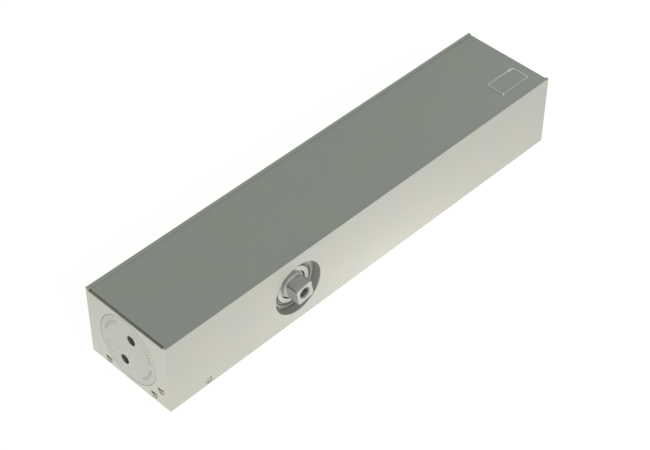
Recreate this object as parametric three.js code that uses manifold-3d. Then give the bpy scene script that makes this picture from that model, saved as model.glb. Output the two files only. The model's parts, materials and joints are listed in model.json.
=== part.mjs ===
// Surface-mounted cam-action door closer, lying on its back: millimetres, +Z up.
// +X runs along the body towards the closing springs, -Y is the side that the spindle comes out of,
// and +Z is the front, under the clip-on cover. The origin is the centre of the flat back face.
import * as THREE from 'three';
import { mergeVertices } from 'three/addons/utils/BufferGeometryUtils.js';
import Module from 'manifold-3d';

const wasm = await Module();
wasm.setup();

// ---- Driving dimensions ----
const body_length = 281;
const body_width = 58;
const body_height = 45;
const lip_height = 1.4; // the side lips stand this far above the cover
const lip_width = 2;
const end_rib = 0.5; // thin upstand at the damper end, level with the cover
const cover_end_gap = 1; // dark slot between that rib and the cover
const cover_thickness = 0.8;
const cover_side_gap = 0.25;
const seat_gap = 0.3; // between a seated piece and what holds it
const slide_gap = 0.3; // between a piston and its cylinder
const small_gap = 0.2; // between small turned pieces
const bevel = 1; // broken edge of a piston, plug or seat
const fine_bevel = 0.3; // broken edge of a small turned piece
const seal_squeeze = 0.1; // how far a sealing ring stands out of its groove
const overrun = 1; // how far a cut runs beyond the face that it opens

const cylinder_radius = 18.6;
const cylinder_height = 22.2; // cylinder axis above the back
const spindle_from_end = 87.3; // spindle axis from the damper end

// Spindle and its cam
const journal_radius = 8;
const collar_radius = 9.3;
const square_across = 10.2;
const square_corner_radius = 6.8;
const square_angle = THREE.MathUtils.degToRad(9.5);
const square_length = 7;
const square_bevel = 0.4;
const square_reach = 4.8; // how far the square stands out of the side
const cone_length = 1.1;
const arm_thread_radius = 2.9;
const arm_thread_mouth = 3.8;
const arm_thread_depth = 14;
const cam_width = 9;
const cam_rate = 3; // roller travel per radian of spindle
const pitch_min = 15.5; // roller centre from the spindle axis, in the cam's valley
const roller_radius = 7;
const roller_width = 8.8;
const cam_clearance = 0.3;

// Spindle bearings
const recess_radius = 15.1;
const recess_rim = 0.5;
const carrier_length = 6.4;
const carrier_step = 5; // length of the carrier's wide part
const carrier_shoulder = 0.9;
const carrier_groove = 1.5;
const carrier_rim = 1.45;
const carrier_lip = 0.7; // inward lip behind the shaft seal
const carrier_lip_radius = 9.5;
const carrier_seal_from_face = 2.6;
const carrier_seal_wire = 0.45;
const cup_radius = 11;
const cup_length = 4.2;
const cup_wall = 0.9;
const cup_end_wall = 0.8;
const cup_proud = 0.1; // the near cup stands this far out of its carrier
const needle_count = 12;
const needle_relief = 0.5; // depth of the cage between two needles
const shaft_seal_length = 1.3;
const far_cap_radius = 13.5;
const far_cap_thickness = 3;
const far_seal_height = 1.6;
const far_seal_width = 1.8;
const far_cup_length = 5;
const spanner_hole_radius = 1.6;
const spanner_hole_depth = 1.8;
const spanner_hole_from_axis = 8.1;

// Pistons
const piston_length = 30;
const piston_overhang = 5; // piston face beyond its roller's axis, towards the spindle
const fork_gap = 5.1; // half width of the slot that takes the roller and the cam
const fork_floor = 1; // behind the roller
const pin_radius = 3;
const pin_end_gap = 0.7;
const spigot_radius = 7.6;
const spigot_length = 8;
const oil_hole_radius = 1.5;
const oil_hole_height = 12.4; // above the piston's axis
const ring_groove_width = 2.4;
const ring_groove_depth = 1.2;
const ring_inset = 4;
const check_bore_radius = 2.9;
const check_bore_depth = 8;
const check_seat_radius = 1.3;
const check_ball_radius = 2.4;
const check_ball_lift = 0.6;
const check_cage_length = 1.8;
const check_cage_gap = 0.1;

// End plugs
const disc_radius = 20.2;
const disc_thickness = 1.4;
const parting_gap = 0.25;
const disc_seat_gap = 0.1;
const plug_length = 14.3;
const plug_groove_inset = 4;
const plug_groove_width = 2.4;
const plug_groove_depth = 1.4;
const plug_seal_wire = 0.7;
const plug_pin_radius = 2.7;
const plug_pin_spacing = 19;
const plug_pin_angle = THREE.MathUtils.degToRad(19.7);
const plug_pin_depth = 6;

// Springs: wires and mean coils are given by their radius
const outer_spring_wire = 2.6;
const outer_spring_radius = 15.2;
const outer_spring_turns = 9;
const inner_spring_wire = 1.7;
const inner_spring_radius = 10;
const inner_spring_turns = 12;
const damper_spring_wire = 0.8;
const damper_spring_radius = 13;
const damper_spring_turns = 5;

// Spring force adjustment
const screw_neck_radius = 4.6;
const screw_collar_radius = 9;
const screw_collar_length = 3;
const screw_thread_radius = 4.6;
const screw_thread_length = 32;
const screw_recess = 1.5;
const screw_socket_across = 6;
const screw_socket_depth = 6;
const screw_groove_width = 1.8;
const screw_groove_depth = 1;
const screw_seal_wire = 0.5;
const seat_thickness = 5;
const seat_hub_length = 10;

// Adjusting valves in the damper end: [offset from the near side, height above the back]
const closing_valve_place = [11.7, 4];
const latching_valve_place = [6.2, 10.7];
const backcheck_valve_place = [45.2, 3.6];
const valve_bore_radius = 2.3;
const valve_bore_depth = 24;
const valve_head_sink = 0.8;
const valve_length = 21;
const valve_head_length = 3;
const valve_stem_relief = 0.3; // stem thinner than the head by this much
const valve_neck_radius = 1.35;
const valve_groove_width = 1.6;
const valve_seal_wire = 0.4;
const valve_seal_from_end = 9;
const valve_tip_length = 4;
const valve_tip_radius = 0.5;
const valve_slot_width = 0.7;
const valve_slot_depth = 1.2;
const valve_seat_cone = 0.5;
const channel_radius = 1.1;
const channel_length = 62;
const latching_channel_length = 50; // ends short of the spindle's recess
const port_radius = 0.9;
const port_inset = 2;

// Cross-drilling plug in the near side, over the closing valve's channel
const cross_plug_from_end = 25.4;
const cross_plug_height = 2.95;
const cross_bore_radius = 1.9;
const cross_plug_length = 5;
const cross_plug_sink = 0.5;

// Fixing holes and cover studs
const fixing_from_end = 36.5;
const fixing_from_side = 5.6;
const fixing_radius = 2.7;
const fixing_head_radius = 4.4;
const fixing_head_depth = 5.5;
const stud_from_end = 10.5;
const stud_from_side = 7;
const stud_radius = 2.2;
const stud_length = 4.2;
const stud_barb = 0.4; // the stud's neck is thinner than its barb by this much
const stud_barb_start = 0.8; // from the stud's tip
const stud_barb_end = 1.8;

// ---- Places that follow from them ----
const left_end = -body_length / 2;
const right_end = body_length / 2;
const near_side = -body_width / 2;
const far_side = body_width / 2;
const cover_top = body_height - lip_height;
const deck = cover_top - cover_thickness;
const spindle_x = left_end + spindle_from_end;
const piston_radius = cylinder_radius - slide_gap;
const cam_reach = cam_rate * Math.PI;
const roller_rest_spring = spindle_x + pitch_min;
const roller_rest_damper = spindle_x - pitch_min - cam_reach;
const spring_piston_back = roller_rest_spring - piston_overhang + piston_length;
const damper_piston_back = roller_rest_damper + piston_overhang - piston_length;
const bearing_inner = cylinder_radius + seat_gap; // bearings stop short of the cylinder
const carrier_face = -bearing_inner - carrier_length;
const carrier_radius = recess_radius - small_gap;
const cup_bore = cup_radius - cup_wall;
const cup_lip = journal_radius + seat_gap;
const far_seat = bearing_inner + far_cup_length + small_gap;
const far_cap_inner = far_seat + far_seal_height;
const plug_inner = plug_length - body_length / 2; // damper plug's inner face
const spring_plug_inner = -plug_inner;
const screw_collar_face = spring_plug_inner - small_gap;
const seat_face = screw_collar_face - screw_collar_length - seat_gap;
const spring_end = seat_face - seat_thickness;

// ---- Helpers ----
const steel = (color, roughness) => ({ color, roughness, metalness: 1 });
const looks = {
  satin: { color: 0xcfcdc6, roughness: 0.45, metalness: 0.6 },
  cover: { color: 0xc6c8c4, roughness: 0.4, metalness: 0.6 },
  zinc: steel(0xb9bab4, 0.35),
  bright: steel(0xdadbd6, 0.25),
  dark: steel(0x77787a, 0.4),
  spring: steel(0x55585c, 0.45),
  brass: steel(0xb79a5b, 0.4),
  rubber: { color: 0x1b1b1c, roughness: 0.8, metalness: 0 },
  plastic: { color: 0x2c2d2f, roughness: 0.6, metalness: 0 },
};

// Flats around a circle: more on the large ones, so that concentric pieces keep their gap.
function facets(radius) {
  if (radius > 12) return 36;
  if (radius > 6) return 24;
  return radius > 2 ? 12 : 8;
}

function solid(geometry) {
  const bare = geometry.clone();
  bare.deleteAttribute('normal');
  bare.deleteAttribute('uv');
  const merged = mergeVertices(bare, 1e-5);
  const corners = [];
  const index = merged.index.array;
  for (let i = 0; i < index.length; i += 3) {
    const [a, b, c] = [index[i], index[i + 1], index[i + 2]];
    if (a !== b && b !== c && c !== a) corners.push(a, b, c);
  }
  return new wasm.Manifold(new wasm.Mesh({
    numProp: 3,
    vertProperties: new Float32Array(merged.attributes.position.array),
    triVerts: new Uint32Array(corners),
  }));
}

function piece(name, body, look) {
  const data = body.getMesh();
  const geometry = new THREE.BufferGeometry();
  geometry.setAttribute('position', new THREE.BufferAttribute(data.vertProperties, 3));
  geometry.setIndex(new THREE.BufferAttribute(data.triVerts, 1));
  geometry.computeVertexNormals();
  const mesh = new THREE.Mesh(geometry, new THREE.MeshStandardMaterial(looks[look]));
  mesh.name = name;
  return mesh;
}

// Turned shapes: the profile is a list of [radius, place along the axis].
function turned(profile, radius) {
  const points = profile.map(([r, along]) => new THREE.Vector2(r, along));
  return new THREE.LatheGeometry(points, facets(radius));
}
const widest = (profile) => Math.max(...profile.map(([r]) => r));
const aboutX = (profile) => solid(turned(profile, widest(profile)).rotateZ(-Math.PI / 2));
const aboutY = (profile) => solid(turned(profile, widest(profile)));
const aboutZ = (profile) => solid(turned(profile, widest(profile)).rotateX(Math.PI / 2));
const rod = (radius, from, to) => [[0, from], [radius, from], [radius, to], [0, to]];
const tube = (inner, outer, from, to) => [
  [inner, from], [outer, from], [outer, to], [inner, to], [inner, from],
];
const onCylinderAxis = (body) => body.translate(0, 0, cylinder_height);
const onSpindleAxis = (body) => body.translate(spindle_x, 0, cylinder_height);

function block(x0, x1, y0, y1, z0, z1) {
  const geometry = new THREE.BoxGeometry(x1 - x0, y1 - y0, z1 - z0);
  geometry.translate((x0 + x1) / 2, (y0 + y1) / 2, (z0 + z1) / 2);
  return solid(geometry);
}

// An outline in X and Z, given depth along Y from y0 to y1.
function slab(outline, y0, y1) {
  const geometry = new THREE.ExtrudeGeometry(new THREE.Shape(outline), {
    depth: y1 - y0, bevelEnabled: false,
  });
  return solid(geometry.rotateX(Math.PI / 2).translate(0, y1, 0));
}

function ring(major, minor, along) {
  const sides = 6;
  const profile = [];
  for (let i = 0; i <= sides; i++) {
    const a = (i % sides) * 2 * Math.PI / sides;
    profile.push([major + minor * Math.cos(a), along + minor * Math.sin(a)]);
  }
  return profile;
}

// ---- Housing ----
function fourCorners(from_end, from_side) {
  const corners = [];
  for (const x of [left_end + from_end, right_end - from_end]) {
    for (const y of [near_side + from_side, far_side - from_side]) corners.push([x, y]);
  }
  return corners;
}

// A small drilling from a valve's channel into the cylinder, square to the channel.
function port(x, y, z) {
  const across = new THREE.Vector3(0, -y, cylinder_height - z);
  const reach = across.length() - cylinder_radius + overrun;
  const geometry = new THREE.CylinderGeometry(port_radius, port_radius, reach, facets(port_radius));
  geometry.translate(0, reach / 2, 0);
  const turn = new THREE.Quaternion().setFromUnitVectors(
    new THREE.Vector3(0, 1, 0), across.normalize());
  geometry.applyQuaternion(turn).translate(x, y, z);
  return solid(geometry);
}

function valveDrillings([from_near, height], length = channel_length) {
  const y = near_side + from_near;
  const bore_end = left_end + valve_bore_depth;
  const bore = aboutX([
    [0, left_end - overrun], [valve_bore_radius, left_end - overrun], [valve_bore_radius, bore_end],
    [channel_radius, bore_end + valve_seat_cone], [channel_radius, bore_end + length],
    [0, bore_end + length],
  ]).translate(0, y, height);
  return bore
    .add(port(bore_end + port_inset, y, height))
    .add(port(bore_end + length - port_inset, y, height));
}

function housing() {
  const inner = body_width / 2 - lip_width;
  const past_right = right_end + overrun;
  const past_top = body_height + overrun;
  let body = block(left_end, right_end, near_side, far_side, 0, body_height);
  const cuts = [
    block(left_end - overrun, past_right, -inner, inner, cover_top, past_top),
    block(left_end + end_rib, past_right, -inner, inner, deck, past_top),
    onCylinderAxis(aboutX(rod(cylinder_radius, left_end - overrun, past_right))),
  ];
  const counterbore = disc_radius + parting_gap;
  const left_disc_seat = left_end + disc_thickness + disc_seat_gap;
  const right_disc_seat = right_end - disc_thickness - disc_seat_gap;
  cuts.push(onCylinderAxis(aboutX(rod(counterbore, left_end - overrun, left_disc_seat))));
  cuts.push(onCylinderAxis(aboutX(rod(counterbore, right_disc_seat, past_right))));
  const carrier_seat = carrier_face + carrier_step;
  cuts.push(onSpindleAxis(aboutY([
    [0, near_side - overrun], [recess_radius + recess_rim + overrun, near_side - overrun],
    [recess_radius + recess_rim, near_side], [recess_radius, near_side + recess_rim],
    [recess_radius, carrier_seat], [recess_radius - carrier_shoulder, carrier_seat],
    [recess_radius - carrier_shoulder, 0], [0, 0],
  ])));
  cuts.push(onSpindleAxis(aboutY([
    [0, 0], [cup_radius + small_gap, 0], [cup_radius + small_gap, far_seat],
    [far_cap_radius + small_gap, far_seat], [far_cap_radius + small_gap, far_side + overrun],
    [0, far_side + overrun],
  ])));
  cuts.push(valveDrillings(closing_valve_place));
  cuts.push(valveDrillings(latching_valve_place, latching_channel_length));
  cuts.push(valveDrillings(backcheck_valve_place));
  const channel_y = near_side + closing_valve_place[0];
  cuts.push(aboutY(rod(cross_bore_radius, near_side - overrun, channel_y + channel_radius))
    .translate(left_end + cross_plug_from_end, 0, cross_plug_height));
  for (const [x, y] of fourCorners(fixing_from_end, fixing_from_side)) {
    cuts.push(aboutZ([
      [0, -overrun], [fixing_radius, -overrun], [fixing_radius, deck - fixing_head_depth],
      [fixing_head_radius, deck - fixing_head_depth], [fixing_head_radius, deck + overrun],
      [0, deck + overrun],
    ]).translate(x, y, 0));
  }
  for (const [x, y] of fourCorners(stud_from_end, stud_from_side)) {
    cuts.push(aboutZ(rod(stud_radius + seat_gap, deck - stud_length - seat_gap, deck + overrun))
      .translate(x, y, 0));
  }
  for (const cut of cuts) body = body.subtract(cut);
  return piece('housing', body, 'satin');
}

// ---- Front cover ----
function cover() {
  const half = body_width / 2 - lip_width - cover_side_gap;
  const start = left_end + end_rib + cover_end_gap;
  return piece('front_cover', block(start, right_end, -half, half, deck, cover_top), 'cover');
}

function coverStuds() {
  const tip = deck - stud_length;
  const neck = stud_radius - stud_barb;
  return fourCorners(stud_from_end, stud_from_side).map(([x, y], i) => piece(
    `cover_stud_${i + 1}`,
    aboutZ([
      [0, tip], [neck - small_gap, tip], [stud_radius, tip + stud_barb_start],
      [neck, tip + stud_barb_end], [neck, deck], [0, deck],
    ]).translate(x, y, 0),
    'plastic'));
}

// ---- Spindle with its heart cam ----
// The roller's centre runs on an Archimedean spiral, mirrored about the cam's valley, so the two
// rollers are always the same distance apart. The cam is what a roller leaves as it goes round.
function camOutline() {
  const reach = roller_radius + cam_clearance;
  const points = [];
  const count = 72;
  for (let i = 0; i < count; i++) {
    const angle = 2 * Math.PI * i / count;
    let surface = Infinity;
    for (let turn = -1.2; turn <= 1.2; turn += 0.01) {
      const folded = Math.abs(Math.atan2(Math.sin(angle + turn), Math.cos(angle + turn)));
      const pitch = pitch_min + cam_rate * folded;
      const across = pitch * Math.sin(turn);
      if (Math.abs(across) < reach) {
        surface = Math.min(surface, pitch * Math.cos(turn) - Math.sqrt(reach ** 2 - across ** 2));
      }
    }
    points.push(new THREE.Vector2(surface * Math.cos(angle), surface * Math.sin(angle)));
  }
  return points;
}

function spindle() {
  const tip = near_side - square_reach;
  const square_end = tip + square_length;
  const journal_start = square_end + cone_length;
  const collar_end = bearing_inner - small_gap;
  const collar_start = cam_width / 2 + seat_gap;
  const cam_root = pitch_min - roller_radius - cam_clearance - small_gap;
  const far_end = bearing_inner + far_cup_length;
  let body = aboutY([
    [0, tip], [square_corner_radius - square_bevel, tip],
    [square_corner_radius, tip + square_bevel],
    [square_corner_radius, square_end], [journal_radius, journal_start],
    [journal_radius, -collar_end], [collar_radius, -collar_end],
    [collar_radius, -collar_start], [cam_root, -collar_start],
    [cam_root, collar_start], [collar_radius, collar_start], [collar_radius, collar_end],
    [journal_radius, collar_end], [journal_radius, far_end - square_bevel],
    [journal_radius - square_bevel, far_end], [0, far_end],
  ]);
  const waste_size = 4 * square_across;
  for (let side = 0; side < 4; side++) {
    const a = square_angle + side * Math.PI / 2;
    const waste = new THREE.BoxGeometry(waste_size, square_length + overrun, waste_size);
    waste.translate((square_across + waste_size) / 2, 0, 0).rotateY(-a);
    waste.translate(0, tip + (square_length - overrun) / 2, 0);
    body = body.subtract(solid(waste));
  }
  body = body.add(slab(camOutline(), -cam_width / 2, cam_width / 2));
  body = body.subtract(aboutY([
    [0, tip - overrun], [arm_thread_mouth + overrun, tip - overrun], [arm_thread_mouth, tip],
    [arm_thread_radius, tip + arm_thread_mouth - arm_thread_radius],
    [arm_thread_radius, tip + arm_thread_depth],
    [0, tip + arm_thread_depth + arm_thread_radius / 2],
  ]));
  return piece('cam_spindle', onSpindleAxis(body), 'zinc');
}

// ---- Spindle bearings ----
function bearingCup(name, from, to) {
  const race_start = from + cup_end_wall;
  const race_end = to - cup_end_wall;
  const body = aboutY([
    [cup_lip, from], [cup_radius, from], [cup_radius, to], [cup_lip, to], [cup_lip, race_end],
    [cup_bore, race_end], [cup_bore, race_start], [cup_lip, race_start], [cup_lip, from],
  ]);
  return piece(name, onSpindleAxis(body), 'bright');
}

function needleCage(name, cup_from, cup_to) {
  const from = cup_from + cup_end_wall + small_gap;
  const to = cup_to - cup_end_wall - small_gap;
  const inner = journal_radius + small_gap;
  const outer = cup_bore - small_gap;
  const outline = [];
  const steps = needle_count * 4;
  for (let i = 0; i < steps; i++) {
    const a = 2 * Math.PI * i / steps;
    const r = outer - needle_relief * (1 - Math.cos(needle_count * a)) / 2;
    outline.push(new THREE.Vector2(r * Math.cos(a), r * Math.sin(a)));
  }
  const body = slab(outline, from, to)
    .subtract(aboutY(rod(inner, from - overrun, to + overrun)));
  return piece(name, onSpindleAxis(body), 'dark');
}

function nearBearing() {
  const step = carrier_face + carrier_step - small_gap;
  const inner = -bearing_inner;
  const bore = cup_radius + small_gap;
  const cup_start = carrier_face - cup_proud;
  const cup_end = carrier_face + cup_length;
  const lip_start = inner - carrier_lip;
  const rim = carrier_radius - carrier_rim;
  const groove_floor = carrier_face + carrier_groove;
  const seal_middle = carrier_face + carrier_seal_from_face;
  const seal_groove = 2 * carrier_seal_wire + seal_squeeze;
  const seal_start = seal_middle - carrier_seal_wire - small_gap;
  const seal_end = seal_middle + carrier_seal_wire + small_gap;
  const carrier = aboutY([
    [bore, carrier_face], [bore + small_gap, carrier_face], [bore + small_gap, groove_floor],
    [rim, groove_floor], [rim, carrier_face], [carrier_radius, carrier_face],
    [carrier_radius, seal_start], [carrier_radius - seal_groove, seal_start],
    [carrier_radius - seal_groove, seal_end], [carrier_radius, seal_end],
    [carrier_radius, step], [carrier_radius - carrier_shoulder, step],
    [carrier_radius - carrier_shoulder, inner], [carrier_lip_radius, inner],
    [carrier_lip_radius, lip_start], [bore, lip_start], [bore, carrier_face],
  ]);
  return [
    piece('bearing_carrier', onSpindleAxis(carrier), 'zinc'),
    piece('carrier_seal', onSpindleAxis(aboutY(
      ring(carrier_radius - carrier_seal_wire + seal_squeeze, carrier_seal_wire, seal_middle))),
    'rubber'),
    bearingCup('near_bearing_cup', cup_start, cup_end),
    needleCage('near_needle_cage', cup_start, cup_end),
    piece('shaft_seal', onSpindleAxis(aboutY(tube(
      journal_radius + small_gap, cup_radius, lip_start - shaft_seal_length, lip_start))), 'rubber'),
  ];
}

function farBearing() {
  const cup_end = bearing_inner + far_cup_length;
  const cap_inner = far_cap_inner;
  const cap_outer = cap_inner + far_cap_thickness;
  let cap = aboutY([
    [0, cap_inner], [far_cap_radius, cap_inner], [far_cap_radius, cap_outer - fine_bevel],
    [far_cap_radius - fine_bevel, cap_outer], [0, cap_outer],
  ]);
  for (const side of [-1, 1]) {
    cap = cap.subtract(
      aboutY(rod(spanner_hole_radius, cap_outer - spanner_hole_depth, cap_outer + overrun))
        .translate(side * spanner_hole_from_axis, 0, 0));
  }
  return [
    bearingCup('far_bearing_cup', bearing_inner, cup_end),
    needleCage('far_needle_cage', bearing_inner, cup_end),
    piece('far_cap_seal', onSpindleAxis(aboutY(
      tube(far_cap_radius - far_seal_width, far_cap_radius, far_seat, cap_inner))), 'rubber'),
    piece('far_bearing_cap', onSpindleAxis(cap), 'satin'),
  ];
}

// ---- Pistons: towards is +1 for the one on the spring side, -1 for the damper's ----
function forkCuts(roller_x, towards) {
  const face = roller_x - towards * (piston_overhang + overrun);
  const floor = roller_x + towards * (roller_radius + fork_floor);
  const far = cylinder_radius + overrun;
  const slot = block(Math.min(face, floor), Math.max(face, floor), -fork_gap, fork_gap, -far, far);
  const pin_bore = aboutY(rod(pin_radius + small_gap, -far, far)).translate(roller_x, 0, 0);
  return slot.add(pin_bore);
}

function rollerAndPin(prefix, roller_x) {
  const place = (body) => body.translate(roller_x, 0, cylinder_height);
  const half_pin = Math.sqrt(piston_radius ** 2 - pin_radius ** 2) - pin_end_gap;
  const half = roller_width / 2;
  const edge = roller_radius - fine_bevel;
  return [
    piece(`${prefix}_roller`, place(aboutY([
      [pin_radius + small_gap, -half], [edge, -half], [roller_radius, fine_bevel - half],
      [roller_radius, half - fine_bevel], [edge, half], [pin_radius + small_gap, half],
      [pin_radius + small_gap, -half],
    ])), 'bright'),
    piece(`${prefix}_roller_pin`, place(aboutY(rod(pin_radius, -half_pin, half_pin))), 'dark'),
  ];
}

function springPiston() {
  const face = roller_rest_spring - piston_overhang;
  const back = spring_piston_back;
  const edge = piston_radius - bevel;
  let body = aboutX([
    [0, face], [edge, face], [piston_radius, face + bevel], [piston_radius, back - bevel],
    [edge, back], [spigot_radius, back], [spigot_radius, back + spigot_length - bevel],
    [spigot_radius - bevel, back + spigot_length], [0, back + spigot_length],
  ]);
  body = body.subtract(forkCuts(roller_rest_spring, 1));
  const oil_hole = aboutX(rod(oil_hole_radius, face - overrun, back + overrun));
  body = body.subtract(oil_hole.translate(0, 0, oil_hole_height));
  return [
    piece('spring_piston', onCylinderAxis(body), 'dark'),
    ...rollerAndPin('spring', roller_rest_spring),
  ];
}

function damperPiston() {
  const face = roller_rest_damper + piston_overhang;
  const back = damper_piston_back;
  const groove = piston_radius - ring_groove_depth;
  const groove_start = back + ring_inset;
  const groove_end = groove_start + ring_groove_width;
  const edge = piston_radius - bevel;
  let body = aboutX([
    [0, back], [edge, back], [piston_radius, back + bevel],
    [piston_radius, groove_start], [groove, groove_start],
    [groove, groove_end], [piston_radius, groove_end],
    [piston_radius, face - bevel], [edge, face], [0, face],
  ]);
  body = body.subtract(forkCuts(roller_rest_damper, -1));
  body = body.subtract(aboutX(rod(check_bore_radius, back - overrun, back + check_bore_depth)));
  body = body.subtract(aboutX(rod(check_seat_radius, back, roller_rest_damper)));
  const seat_offset = Math.sqrt(check_ball_radius ** 2 - check_seat_radius ** 2) + small_gap;
  const ball_x = back + check_bore_depth - seat_offset;
  const cage_end = ball_x - check_ball_radius - check_ball_lift - small_gap;
  const ball = new THREE.SphereGeometry(check_ball_radius, 12, 8).translate(ball_x, 0, 0);
  return [
    piece('damper_piston', onCylinderAxis(body), 'dark'),
    piece('piston_ring', onCylinderAxis(aboutX(tube(
      groove + small_gap, piston_radius + seal_squeeze, groove_start + small_gap,
      groove_end - small_gap))), 'plastic'),
    piece('check_valve_ball', onCylinderAxis(solid(ball)), 'bright'),
    piece('check_valve_cage', onCylinderAxis(aboutX(tube(
      check_seat_radius, check_bore_radius - check_cage_gap, cage_end - check_cage_length,
      cage_end))), 'brass'),
    ...rollerAndPin('damper', roller_rest_damper),
  ];
}

// ---- Springs ----
class Helix extends THREE.Curve {
  constructor(radius, from, to, turns) {
    super();
    Object.assign(this, { radius, from, to, turns });
  }

  getPoint(t, target = new THREE.Vector3()) {
    const angle = 2 * Math.PI * this.turns * t;
    return target.set(
      THREE.MathUtils.lerp(this.from, this.to, t),
      this.radius * Math.cos(angle),
      this.radius * Math.sin(angle));
  }
}

function spring(name, wire, radius, turns, from, to) {
  const sides = 6;
  const steps_per_turn = 9;
  const section = [];
  for (let i = 0; i < sides; i++) {
    const a = 2 * Math.PI * i / sides;
    section.push(new THREE.Vector2(wire * Math.cos(a), wire * Math.sin(a)));
  }
  const geometry = new THREE.ExtrudeGeometry(new THREE.Shape(section), {
    steps: Math.abs(turns) * steps_per_turn,
    extrudePath: new Helix(radius, from + wire, to - wire, turns),
    bevelEnabled: false,
  });
  return piece(name, onCylinderAxis(solid(geometry)), 'spring');
}

function springs() {
  const start = spring_piston_back + seat_gap;
  const end = spring_end - seat_gap;
  return [
    spring('outer_spring', outer_spring_wire, outer_spring_radius, outer_spring_turns,
      start, end),
    spring('inner_spring', inner_spring_wire, inner_spring_radius, -inner_spring_turns,
      start, end),
    spring('damper_spring', damper_spring_wire, damper_spring_radius, damper_spring_turns,
      plug_inner + seat_gap, damper_piston_back - seat_gap),
  ];
}

// ---- End plugs ----
function plugProfile(end, inward) {
  const groove = piston_radius - plug_groove_depth;
  const groove_end = plug_length - plug_groove_inset;
  const groove_start = groove_end - plug_groove_width;
  const at = (inset) => end + inward * inset;
  const profile = [
    [0, at(0)], [disc_radius, at(0)], [disc_radius, at(disc_thickness)],
    [piston_radius, at(disc_thickness)], [piston_radius, at(groove_start)],
    [groove, at(groove_start)], [groove, at(groove_end)], [piston_radius, at(groove_end)],
    [piston_radius, at(plug_length - bevel)], [piston_radius - bevel, at(plug_length)],
    [0, at(plug_length)],
  ];
  return inward > 0 ? profile : profile.reverse();
}

function plugSeal(name, end, inward) {
  const middle = end + inward * (plug_length - plug_groove_inset - plug_groove_width / 2);
  const major = piston_radius - plug_seal_wire + seal_squeeze;
  return piece(name, onCylinderAxis(aboutX(ring(major, plug_seal_wire, middle))), 'rubber');
}

function drillPins(body, end, inward, angle) {
  const reach = [end - inward * overrun, end + inward * plug_pin_depth].sort((a, b) => a - b);
  for (const side of [-1, 1]) {
    const y = -side * Math.sin(angle) * plug_pin_spacing / 2;
    const z = side * Math.cos(angle) * plug_pin_spacing / 2;
    body = body.subtract(aboutX(rod(plug_pin_radius, ...reach)).translate(0, y, z));
  }
  return body;
}

function endPlugs() {
  const damper = drillPins(aboutX(plugProfile(left_end, 1)), left_end, 1, plug_pin_angle);
  let closing = drillPins(aboutX(plugProfile(right_end, -1)), right_end, -1, 0);
  closing = closing.subtract(
    aboutX(rod(screw_neck_radius + seat_gap, spring_plug_inner - overrun, right_end + overrun)));
  return [
    piece('damper_end_plug', onCylinderAxis(damper), 'satin'),
    plugSeal('damper_plug_seal', left_end, 1),
    piece('spring_end_plug', onCylinderAxis(closing), 'satin'),
    plugSeal('spring_plug_seal', right_end, -1),
  ];
}

// ---- Spring force adjustment ----
function springAdjuster() {
  const head = right_end - screw_recess;
  const collar_start = screw_collar_face - screw_collar_length;
  const thread_end = collar_start - screw_thread_length;
  const groove_middle = (screw_collar_face + head) / 2;
  const groove_start = groove_middle - screw_groove_width / 2;
  const groove_end = groove_middle + screw_groove_width / 2;
  const groove = screw_neck_radius - screw_groove_depth;
  let screw = aboutX([
    [0, thread_end], [screw_thread_radius - bevel, thread_end],
    [screw_thread_radius, thread_end + bevel], [screw_thread_radius, collar_start],
    [screw_collar_radius, collar_start], [screw_collar_radius, screw_collar_face],
    [screw_neck_radius, screw_collar_face], [screw_neck_radius, groove_start],
    [groove, groove_start], [groove, groove_end],
    [screw_neck_radius, groove_end], [screw_neck_radius, head - fine_bevel],
    [screw_neck_radius - fine_bevel, head], [0, head],
  ]);
  const corner = screw_socket_across / Math.sqrt(3);
  const socket = new THREE.CylinderGeometry(corner, corner, screw_socket_depth + overrun, 6);
  socket.rotateZ(Math.PI / 2).translate(head + (overrun - screw_socket_depth) / 2, 0, 0);
  screw = screw.subtract(solid(socket));
  const hub = spring_end - seat_hub_length;
  const bore = screw_thread_radius + small_gap;
  const seat = aboutX([
    [bore, hub], [spigot_radius - bevel, hub], [spigot_radius, hub + bevel],
    [spigot_radius, spring_end], [piston_radius, spring_end], [piston_radius, seat_face],
    [bore, seat_face], [bore, hub],
  ]);
  return [
    piece('spring_adjusting_screw', onCylinderAxis(screw), 'dark'),
    piece('adjusting_screw_seal', onCylinderAxis(aboutX(
      ring(screw_neck_radius - screw_seal_wire + seal_squeeze, screw_seal_wire, groove_middle))),
    'rubber'),
    piece('spring_seat', onCylinderAxis(seat), 'dark'),
  ];
}

// ---- Adjusting valves ----
function valve(name, [from_near, height]) {
  const place = (body) => body.translate(0, near_side + from_near, height);
  const head = left_end + valve_head_sink;
  const end = head + valve_length;
  const radius = valve_bore_radius - small_gap;
  const head_end = head + valve_head_length;
  const stem = radius - valve_stem_relief;
  const seal_x = end - valve_seal_from_end;
  const groove_start = seal_x - valve_groove_width / 2;
  const groove_end = seal_x + valve_groove_width / 2;
  const slot = valve_slot_width / 2;
  let body = aboutX([
    [0, head], [radius - small_gap, head], [radius, head + small_gap], [radius, head_end],
    [stem, head_end + valve_stem_relief], [stem, groove_start],
    [valve_neck_radius, groove_start], [valve_neck_radius, groove_end],
    [stem, groove_end], [stem, end - valve_tip_length], [valve_tip_radius, end], [0, end],
  ]);
  body = body.subtract(block(
    head - overrun, head + valve_slot_depth, -slot, slot, -valve_bore_radius, valve_bore_radius));
  return [
    piece(name, place(body), 'brass'),
    piece(`${name}_seal`, place(aboutX(
      ring(valve_neck_radius + valve_seal_wire + seal_squeeze / 2, valve_seal_wire, seal_x))),
    'rubber'),
  ];
}

function crossPlug() {
  const outer = near_side + cross_plug_sink;
  return piece('channel_plug', aboutY(rod(
    cross_bore_radius - small_gap, outer, outer + cross_plug_length))
    .translate(left_end + cross_plug_from_end, 0, cross_plug_height), 'dark');
}

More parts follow.
